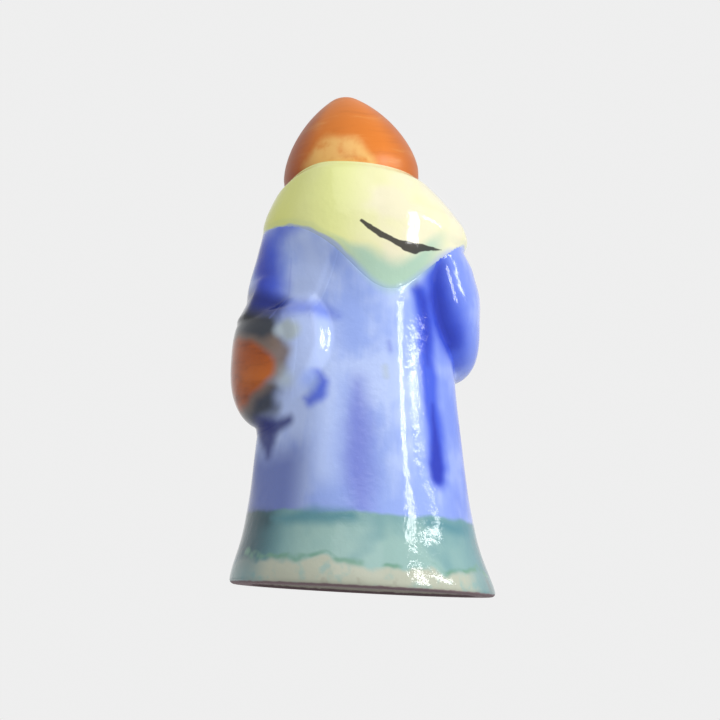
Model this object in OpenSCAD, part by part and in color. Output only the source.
// Porcelain figure bell. A hollow robe is the bell. Its shawl, head, sleeves, hands and basket are
// castings set on it with a thin joint of slip, and a bead clapper hangs on wire from a lug inside.
// Millimetres, +Z up. The figure faces -Y, its left side is at +X, and the foot stands on Z = 0.
// Turns are degrees round +Z from +X, so 90 is the middle of the back and 270 the middle of the front.

/* [Robe] */
// Radius of the foot, the widest part of the flared hem
foot_r = 19.1; // [18.2:0.1:21]
// Radius that the straight side of the robe would have at the foot
robe_r = 17.6; // [16.6:0.1:18]
// Half of the width at the chest
chest_r = 13.3; // [12.4:0.1:14.2]
// Half of the depth at the chest, front to back
chest_d = 12.2; // [11.4:0.1:13.2]
// Height where the side of the robe turns upright
chest_z = 40; // [36:0.5:44]
// Height where the shoulders start to round over
shoulder_z = 47; // [45:0.5:49]
// Height of the flat land that carries the head, above the start of the shoulders
neck_rise = 8.5; // [7.5:0.5:10.5]
// Height over which the hem flares out to the foot
flare_h = 5.5; // [4:0.1:7]
// Height of the painted hem, where the folds of the robe run out
hem_h = 9; // [6:0.5:12]
// How far the shoulders lean to the figure's left
lean = 2.6; // [0:0.1:3.2]
// Height over which most of the lean comes on
lean_h = 22; // [16:1:36]
// Thickness of the wall of the bell
wall = 3; // [2.4:0.1:3.4]
// Thickness of the clay between the hollow and the neck
crown_t = 6; // [5:0.1:8]
// Radius of the hollow's round upper corner
crown_round = 4; // [2:0.1:5]
// Rounding of the outer edge of the foot
foot_edge = 0.8; // [0.4:0.1:1.2]
// Number of soft folds round the robe
fold_n = 8; // [6:1:10]
// Depth of a fold, from its mean line
fold_d = 0.4; // [0:0.05:0.6]
// Turn at which one fold is deepest
fold_turn = 70; // [50:1:90]

/* [Head] */
// Radius of the head at its widest
head_r = 10.1; // [9.6:0.05:10.6]
// Height of the head's middle above the neck
head_rise = 5.7; // [5.2:0.1:6.4]
// Height of the crown of the hair above the head's middle
head_up = 12.1; // [11:0.1:14]
// How far the head's middle stands to the figure's left
head_x = 5.2; // [4.2:0.1:5.6]
// How far the head tips to the figure's left
head_tilt = 9; // [5:0.5:12]
// Radius of the nose
nose_r = 1.15; // [0.9:0.05:1.4]

/* [Shawl] */
// Half of the width over the shawl at the shoulders
shawl_r = 15.5; // [15.3:0.1:16.4]
// Half of the depth over the shawl at the shoulders
shawl_d = 13.9; // [13.7:0.1:14.8]
// Height of the shawl's lower edge above the shoulder line, at the sides
shawl_rise = 4; // [3:0.1:4.6]
// Drop of the shawl's corner down the back
tip_drop = 9; // [6:0.1:11]
// Turn of the corner on the back
tip_turn = 86; // [75:1:105]
// Spread of the corner on the back
tip_spread = 34; // [24:1:40]
// Drop of the shawl's knot side at the front
front_drop = 4; // [3:0.1:4.6]
// Spread of the drop at the front
front_spread = 30; // [20:1:40]
// Height of the shawl's top edge above the neck, at the nape
nape_h = 4; // [3:0.1:5]
// Height of the shawl's top edge above the neck, under the chin
chin_h = 1.6; // [1:0.1:2.5]
// Thickness of the shawl at its edges
shawl_edge = 0.5; // [0.4:0.05:0.9]

/* [Sleeves] */
// Half of the left sleeve's width at its fullest
left_w = 6.8; // [6.2:0.1:7.2]
// How far the left sleeve stands off the robe
left_t = 3; // [2.6:0.1:3.6]
// Share by which the left sleeve is fuller at its lower edge
left_hang = 0.5; // [0:0.05:0.6]
// Half of the left sleeve's width at its back end
left_start_w = 4; // [3.4:0.1:4.6]
// Turn of the left sleeve's back end, the elbow
left_back_turn = 46; // [40:1:50]
// Depth of the left elbow below the shoulder line
left_back_drop = 5; // [4:0.1:6]
// Depth of the left sleeve's bend below the shoulder line
left_bend_drop = 1; // [0:0.1:2]
// Depth of the left cuff below the shoulder line
left_cuff_drop = 1.5; // [1:0.1:3]
// Half of the right sleeve's width at its fullest
right_w = 7.4; // [6.8:0.1:7.8]
// How far the right sleeve stands off the robe
right_t = 4.2; // [3.6:0.1:4.8]
// Half of the right sleeve's width at the shoulder
right_start_w = 6; // [5.4:0.1:6.6]
// Height of the right sleeve's hidden top above the shoulder line
right_rise = 6; // [5:0.1:6.5]
// Turn of the right sleeve's top, from the middle of the right side
right_top_turn = 30; // [22:1:36]
// Turn that pulls the right elbow back, from the middle of the right side
right_elbow_turn = 42; // [34:1:48]
// How far the right elbow is pulled below the shoulder line
right_elbow_drop = 14.5; // [12:0.5:16]
// Depth of the right cuff below the shoulder line
right_cuff_drop = 7.5; // [6:0.5:9]
// Turn of the cuffs towards the front, from the middle of the side
cuff_turn = 50; // [44:1:54]
// Half of a sleeve's width at the cuff
cuff_w = 5.6; // [5:0.1:6]
// How far a cuff stands off the robe
cuff_t = 3.4; // [3:0.1:4]

/* [Hands] */
// Half of a hand's length
hand_l = 2.5; // [2.1:0.1:2.8]
// Half of a hand's width
hand_w = 2.2; // [1.8:0.1:2.8]
// How far a hand stands off the robe
hand_t = 3; // [2.4:0.1:3.4]

/* [Basket] */
// Half of the basket's width, along the robe
basket_w = 10.5; // [9:0.1:11.5]
// Half of the basket's height
basket_h = 9; // [8:0.1:9.6]
// Height of the middle of the basket
basket_z = 31.5; // [30:0.1:32]
// How far the basket stands off the robe
basket_t = 5.2; // [4.4:0.1:6]
// Share by which the basket is fuller at its top
basket_lift = 0.15; // [0:0.05:0.3]
// Turn of the middle of the basket
basket_turn = -14; // [-24:1:-6]
// Roll of the basket, along the slope of the sleeve above it
basket_roll = -8; // [-14:1:-2]

/* [Clapper] */
// Radius of the lug's clay bar
bar_r = 1.1; // [0.9:0.05:1.3]
// Height from the lug's bar up to the top of the hollow
bar_drop = 4.2; // [3.6:0.1:6]
// Length of the straight stretch of the lug's bar
bar_l = 3; // [2.4:0.1:4]
// Radius of the bends between the bar and its legs
bar_bend = 1.6; // [1.4:0.05:2]
// Radius of the wire
wire_r = 0.45; // [0.35:0.01:0.5]
// Inner radius of a wire eye
eye_r = 1.2; // [1.05:0.05:1.5]
// Radius of the turns of wire wrapped at an eye
wrap_r = 0.8; // [0.7:0.05:0.9]
// Length of the wrapped turns between the link's two eyes, and below the stem's eye
wrap_l = 1.6; // [1.2:0.1:2.4]
// Radius of the bead
bead_r = 4.6; // [3.8:0.1:5]
// Height of the middle of the bead above the foot
bead_z = 10.5; // [9.5:0.1:14]
// Centre-line radius of the loop under the bead
stop_r = 1.1; // [0.9:0.05:1.4]

/* [Joints and gaps] */
// Joint of slip between two castings
lute = 0.1; // [0.08:0.01:0.2]
// Room round the head inside the shawl
nape_gap = 0.3; // [0.2:0.05:0.5]
// Room round a wire or bar inside an eye
play = 0.12; // [0.08:0.01:0.2]
// Room round the wire in the bead's hole
bore_play = 0.06; // [0.02:0.01:0.1]

/* [Hidden] */
$fn = 64;

// Steps of the cast surfaces
around = 64;
robe_rows = 34;
hollow_rows = 16;
shawl_rows = 10;
sleeve_rows = 22;
sleeve_cols = 14;
basket_cells = 16;
hand_cells = 8;
edge_t = 0.12;

// How sharply the side of the robe bends in towards the chest
taper = 1.2;
fold_fade = 8;
fold_top_fade = 14;

neck_z = shoulder_z + neck_rise;
ceiling_z = neck_z - crown_t;
head_z = neck_z + head_rise;
neck_play = 0.35;
neck_r = sqrt(head_r*head_r - head_rise*head_rise) + neck_play;
deg_per_mm = 180/(PI*chest_r);

function ease(t) = let (c = min(1, max(0, t))) c*c*(3 - 2*c);
function mix(a, b, t) = a + (b - a)*t;
function bump(turn, mid, spread) = exp(-pow(wrap_turn(turn - mid)/spread, 2));
function wrap_turn(a) = a - 360*round(a/360);
function bezier(a, b, c, t) = (1 - t)*(1 - t)*a + 2*t*(1 - t)*b + t*t*c;
function bezier_slope(a, b, c, t) = 2*(1 - t)*(b - a) + 2*t*(c - b);
function blend(a, b) = pow(pow(a, 4) + pow(b, 4), 1/4);
function swell(v, power) = sqrt(max(0, 1 - pow(abs(v), power)));

// Middle line of the robe: it leans, and over the shoulders it reaches across to the head
function lean_x(z) = lean*(1 - exp(-z/lean_h));
function neck_share(z) = ease((z - shoulder_z)/(neck_z - shoulder_z));
function spine(z) = mix(lean_x(z), head_x, neck_share(z));

// Half width and half depth of the robe at a height
function robe_side(z) =
    chest_r + (robe_r - chest_r)*pow(max(0, 1 - z/chest_z), taper)
    + (foot_r - robe_r)*exp(-pow(z/flare_h, 2));
function shoulder_side(z) =
    neck_r + (chest_r - neck_r)*cos(90*(z - shoulder_z)/(neck_z - shoulder_z));
function robe_line(z) = z > shoulder_z ? shoulder_side(z) : robe_side(z);
function depth_line(z) =
    robe_line(z)*(1 - (1 - chest_d/chest_r)*ease(z/chest_z)*(1 - neck_share(z)));
function fold_window(z) =
    ease((z - hem_h)/fold_fade)*ease((chest_z + fold_fade/2 - z)/fold_top_fade);
function fold(turn, z) = -fold_d*cos(fold_n*(turn - fold_turn))*fold_window(z);

// A point that stands out from the robe's surface by a given amount
function robe_point(turn, z, out) =
    let (d = out + fold(turn, z))
    [spine(z) + (robe_line(z) + d)*cos(turn), (depth_line(z) + d)*sin(turn), z];

// A closed solid through rings of points, with a flat cap at its first and last ring
module loft(rings) {
    n = len(rings[0]);
    last = (len(rings) - 1)*n;
    sides = [for (i = [0:len(rings) - 2], k = [0:n - 1])
        let (a = i*n + k, b = i*n + (k + 1)%n)
        each [[a, b, b + n], [a, b + n, a + n]]];
    caps = [[for (k = [n - 1:-1:0]) k], [for (k = [0:n - 1]) last + k]];
    polyhedron([for (r = rings) each r], concat(sides, caps));
}

// A closed solid between two grids of points, outer over inner; joined round if closed is true
module slab(outer, inner, closed = false) {
    n = len(outer);
    m = len(outer[0]);
    under = n*m;
    cols = closed ? m : m - 1;
    skin = [for (i = [0:n - 2], j = [0:cols - 1])
        let (a = i*m + j, b = i*m + (j + 1)%m, c = b + m, d = a + m)
        each [[a, b, c], [a, c, d], [a + under, c + under, b + under], [a + under, d + under, c + under]]];
    first = [for (j = [0:cols - 1])
        let (a = j, b = (j + 1)%m)
        each [[b, a, a + under], [b, a + under, b + under]]];
    last = [for (j = [0:cols - 1])
        let (a = (n - 1)*m + j, b = (n - 1)*m + (j + 1)%m)
        each [[a, b, b + under], [a, b + under, a + under]]];
    sides = closed ? [] : [for (i = [0:n - 2])
        let (a = i*m, d = a + m, b = a + m - 1, c = b + m)
        each [[a, d, d + under], [a, d + under, a + under], [c, b, b + under], [c, b + under, c + under]]];
    polyhedron([for (g = [outer, inner], r = g) each r], concat(skin, first, last, sides));
}

// The robe: outside from the neck down, round the edge of the foot, and up inside to the ceiling
function robe_ring(z, out) = [for (k = [0:around - 1]) robe_point(360*k/around, z, out)];
function corner_in(z) =
    let (rise = max(0, z - (ceiling_z - crown_round)))
    crown_round - sqrt(max(0, crown_round*crown_round - rise*rise));
function hollow_ring(z) =
    let (inset = wall + corner_in(z), x = robe_line(z) - inset, y = depth_line(z) - inset)
    [for (k = [0:around - 1]) [lean_x(z) + x*cos(360*k/around), y*sin(360*k/around), z]];

module robe_bell() {
    outside = [for (i = [0:robe_rows]) robe_ring(mix(neck_z, foot_edge, i/robe_rows), 0)];
    edge = [for (a = [30:30:90]) robe_ring(foot_edge*(1 - sin(a)), -foot_edge*(1 - cos(a)))];
    straight_z = ceiling_z - crown_round;
    inside = [for (i = [0:hollow_rows]) hollow_ring(straight_z*i/hollow_rows)];
    corner = [for (a = [22.5:22.5:90]) hollow_ring(straight_z + crown_round*sin(a))];
    color("cornflowerblue") loft(concat(outside, edge, inside, corner));
}

// A rounded pad on the robe: a square grid drawn in to an oval, rolled about its middle
oval_share = 0.8;
oval_power = 2.7;
pad_power = 2.6;
function rolled(p, roll) = [p[0]*cos(roll) - p[1]*sin(roll), p[0]*sin(roll) + p[1]*cos(roll)];
function pad_height(p, half, t, lift) =
    let (u = p[0]/half[0], v = p[1]/half[1],
         rim = pow(pow(abs(u), oval_power) + pow(abs(v), oval_power), 1/oval_power))
    rim < 1 ? edge_t + t*swell(rim, pad_power)*(1 + lift*v) : 0;
module pad(mid, half, roll, t, lift, cells) {
    flat = [for (i = [0:cells], j = [0:cells])
        let (u = -cos(180*j/cells), v = cos(180*i/cells))
        [half[0]*u*sqrt(1 - oval_share*v*v/2), half[1]*v*sqrt(1 - oval_share*u*u/2)]];
    skin = function (raised) [for (i = [0:cells]) [for (j = [0:cells])
        let (p = flat[i*(cells + 1) + j], q = rolled(p, roll))
        robe_point(mid[0] + q[0]*deg_per_mm, mid[1] + q[1],
                   lute + raised*max(edge_t, pad_height(p, half, t, lift)))]];
    slab(skin(1), skin(0));
}

// The basket is held against the figure's left side, with its top under the sleeve
basket_mid = [basket_turn, basket_z];
basket_half = [basket_w, basket_h];
basket_room = 0.2;
function over_basket(place) =
    let (d = place - basket_mid, p = rolled([wrap_turn(d[0])/deg_per_mm, d[1]], -basket_roll),
         h = pad_height(p, basket_half + basket_room*[1, 1], basket_t, basket_lift))
    h > 0 ? h + basket_room : 0;
module basket() {
    color("chocolate") pad(basket_mid, basket_half, basket_roll, basket_t, basket_lift, basket_cells);
}

// Sleeves follow a bend: [start, middle, cuff] as [turn, height], then the half width at the start,
// the half width and stand-off at the fullest, and the share by which one side is fuller
left_bend = [[left_back_turn, shoulder_z - left_back_drop],
             [0, shoulder_z - left_bend_drop],
             [-cuff_turn, shoulder_z - left_cuff_drop],
             left_start_w, left_w, left_t, left_hang];
right_bend = [[180 - right_top_turn, shoulder_z + right_rise],
              [180 - right_elbow_turn, shoulder_z - right_elbow_drop],
              [180 + cuff_turn, shoulder_z - right_cuff_drop],
              right_start_w, right_w, right_t, 0];
full_share = 0.4;
start_round = 0.8;
sleeve_power = 2.8;
hem_t = 0.35;

function after_full(t) = ease((t - full_share)/(1 - full_share));
function half_w(bend, t) =
    t < full_share ? mix(bend[3], bend[4], sin(90*t/full_share)) : mix(bend[4], cuff_w, after_full(t));
function stand_off(bend, t) =
    t < full_share ? bend[5]*pow(t/full_share, start_round) : mix(bend[5], cuff_t, after_full(t));
function bend_mid(bend, t) = bezier(bend[0], bend[1], bend[2], t);

// Direction of the bend in millimetres along the robe, and a place moved sideways from it
function bend_way(bend, t) =
    let (v = bezier_slope(bend[0], bend[1], bend[2], t), d = [v[0]/deg_per_mm, v[1]])
    d/norm(d);
function bend_place(bend, t, side) =
    let (d = bend_way(bend, t))
    bend_mid(bend, t) + side*[-d[1]*deg_per_mm, d[0]];
function sleeve_height(bend, t, v) =
    edge_t + stand_off(bend, t)*swell(v, sleeve_power)*(1 + bend[6]*v);
function sleeve_grid(bend, raised) =
    [for (i = [0:sleeve_rows]) let (t = i/sleeve_rows)
        [for (j = [0:sleeve_cols])
            let (v = -cos(180*j/sleeve_cols), p = bend_place(bend, t, v*half_w(bend, t)),
                 under = over_basket(p),
                 over = blend(sleeve_height(bend, t, v), under > 0 ? under + hem_t : 0))
            robe_point(p[0], p[1], lute + (raised ? over : under))]];
module sleeve(bend) {
    color("royalblue") slab(sleeve_grid(bend, true), sleeve_grid(bend, false));
}
module left_sleeve() { sleeve(left_bend); }
module right_sleeve() { sleeve(right_bend); }

// How high a sleeve stands at any place on the robe, with a little room over it
over_sleeve = 0.2;
function sleeve_over(bend, turn, z) =
    max([for (i = [0:sleeve_rows])
        let (t = i/sleeve_rows, p = bend_mid(bend, t),
             gap = norm([wrap_turn(turn - p[0])/deg_per_mm, z - p[1]])/(half_w(bend, t) + 2*over_sleeve))
        gap < 1 ? (stand_off(bend, t) + edge_t + over_sleeve)*swell(gap, sleeve_power)
                  *(1 + bend[6]*max(-1, (p[1] - z)/half_w(bend, t))) : 0]);

// The shawl lies on the robe and the sleeves below the neck, and round the head above it
collar_r = head_r + nape_gap + shawl_edge;
shawl_low_z = shoulder_z + shawl_rise;
nape_spread = 1.4;
function shawl_low(turn) =
    shawl_low_z - tip_drop*bump(turn, tip_turn, tip_spread) - front_drop*bump(turn, 270, front_spread);
function shawl_top(turn) = neck_z + mix(chin_h, nape_h, ease((1 + sin(turn))/nape_spread));
function head_side(z) = sqrt(head_r*head_r - pow(head_z - z, 2)) + nape_gap;
function core_x(z) = z > neck_z ? head_x : spine(z);
function core_side(z) = z > neck_z ? max(neck_r + lute, head_side(z)) : robe_line(z);
function core_depth(z) = z > neck_z ? max(neck_r + lute, head_side(z)) : depth_line(z);
function core_off(turn, z) =
    z > neck_z ? 0
    : lute + fold(turn, z) + max(sleeve_over(left_bend, turn, z), sleeve_over(right_bend, turn, z));
function shawl_slope(turn, z) =
    let (top = shawl_top(turn))
    sin(90*min(1, max(0, (top - z)/(top - shawl_low_z))));
function shawl_off(turn, z) =
    let (slope = shawl_slope(turn, z),
         x = mix(head_x, lean_x(z), slope) - core_x(z),
         side = mix(collar_r, shawl_r, slope) - core_side(z),
         depth = mix(collar_r, shawl_d, slope) - core_depth(z))
    max(core_off(turn, z) + shawl_edge, side*pow(cos(turn), 2) + depth*pow(sin(turn), 2) + x*cos(turn));
function shawl_point(turn, z, off) =
    [core_x(z) + (core_side(z) + off)*cos(turn), (core_depth(z) + off)*sin(turn), z];
module shawl() {
    place = function (i, k) mix(shawl_top(360*k/around), shawl_low(360*k/around), i/shawl_rows);
    outer = [for (i = [0:shawl_rows]) [for (k = [0:around - 1])
        let (turn = 360*k/around, z = place(i, k)) shawl_point(turn, z, shawl_off(turn, z))]];
    inner = [for (i = [0:shawl_rows]) [for (k = [0:around - 1])
        let (turn = 360*k/around, z = place(i, k)) shawl_point(turn, z, core_off(turn, z))]];
    color("khaki") slab(outer, inner, true);
}

// The head: round below, drawn up to a soft point above, tipped about its middle and cut flat at the neck
crown_power = 1.6;
crown_root = 0.7;
head_step = 5;
nose_low = 12;
module head() {
    below = [for (a = [-90:head_step:0]) head_r*[cos(a), sin(a)]];
    above = [for (a = [head_step:head_step:90])
        [head_r*pow(1 - pow(sin(a), crown_power), crown_root), head_up*sin(a)]];
    color("sienna") difference() {
        translate([head_x, 0, head_z]) rotate([0, head_tilt, 0]) union() {
            rotate_extrude() polygon(concat(below, above));
            rotate([nose_low, 0, 0]) translate([0, -head_r, 0]) sphere(nose_r);
        }
        translate([head_x, 0, neck_z - 2*head_r]) cylinder(r = 2*head_r, h = 2*head_r);
    }
}

// A hand lies on the robe in line with its cuff
hand_gap = 0.25;
function hand_mid(bend) =
    let (d = bend_way(bend, 1))
    bend[2] + (hand_l + hand_gap + abs(d[1])*hand_w)*[d[0]*deg_per_mm, d[1]];
module hand(bend) {
    color("peachpuff") pad(hand_mid(bend), [hand_l, hand_w], 0, hand_t, 0, hand_cells);
}
module left_hand() { hand(left_bend); }
module right_hand() { hand(right_bend); }

// The clapper hangs in the middle of the mouth, at the height of its bead
hang_x = lean_x(bead_z);
bar_z = ceiling_z - bar_drop;
bar_eye_r = bar_r + play + wire_r;
eye_mid_r = eye_r + wire_r;
link_eye_z = bar_z - bar_eye_r - wrap_l - eye_mid_r;
stem_eye_z = link_eye_z - 2*eye_r + play;
stem_wrap_z = stem_eye_z - eye_mid_r - wrap_l;
stop_z = bead_z - bead_r - play - wire_r - stop_r;
stop_wrap_l = 2*wire_r;

// A ring of wire standing upright; its axis lies along X, or along Y if turned
module eye(mid_r, z, along_y = false) {
    translate([hang_x, 0, z]) rotate([90, 0, along_y ? 0 : 90])
        rotate_extrude() translate([mid_r, 0]) circle(wire_r);
}
module upright(r, low, high) { translate([hang_x, 0, low]) cylinder(r = r, h = high - low); }

// The lug: a straight clay bar with a round bend up to a leg at each end
module hanger_lug() {
    leg_x = bar_l/2 + bar_bend;
    color("lightgray") union() {
        translate([hang_x - bar_l/2, 0, bar_z]) rotate([0, 90, 0]) cylinder(r = bar_r, h = bar_l);
        for (s = [0, 180]) translate([hang_x, 0, bar_z]) rotate([0, 0, s]) {
            translate([bar_l/2, 0, bar_bend]) rotate([90, 0, 0]) rotate([0, 0, -90])
                rotate_extrude(angle = 90) translate([bar_bend, 0]) circle(bar_r);
            translate([leg_x, 0, bar_bend]) cylinder(r = bar_r, h = bar_drop - bar_bend);
        }
    }
}
module hanger_link() {
    color("goldenrod") union() {
        eye(bar_eye_r, bar_z);
        upright(wrap_r, link_eye_z + eye_mid_r, bar_z - bar_eye_r);
        eye(eye_mid_r, link_eye_z, true);
    }
}
module clapper_wire() {
    color("goldenrod") union() {
        eye(eye_mid_r, stem_eye_z);
        upright(wrap_r, stem_wrap_z, stem_eye_z - eye_mid_r);
        upright(wire_r, bead_z - bead_r - play, stem_wrap_z);
        upright(wrap_r, stop_z + stop_r, bead_z - bead_r - play);
        eye(stop_r, stop_z, true);
    }
}
module clapper_bead() {
    color("ivory") translate([hang_x, 0, bead_z]) difference() {
        sphere(bead_r);
        translate([0, 0, -2*bead_r]) cylinder(r = wire_r + bore_play, h = 4*bead_r);
    }
}

robe_bell();
shawl();
head();
left_sleeve();
right_sleeve();
left_hand();
right_hand();
basket();
hanger_lug();
hanger_link();
clapper_wire();
clapper_bead();
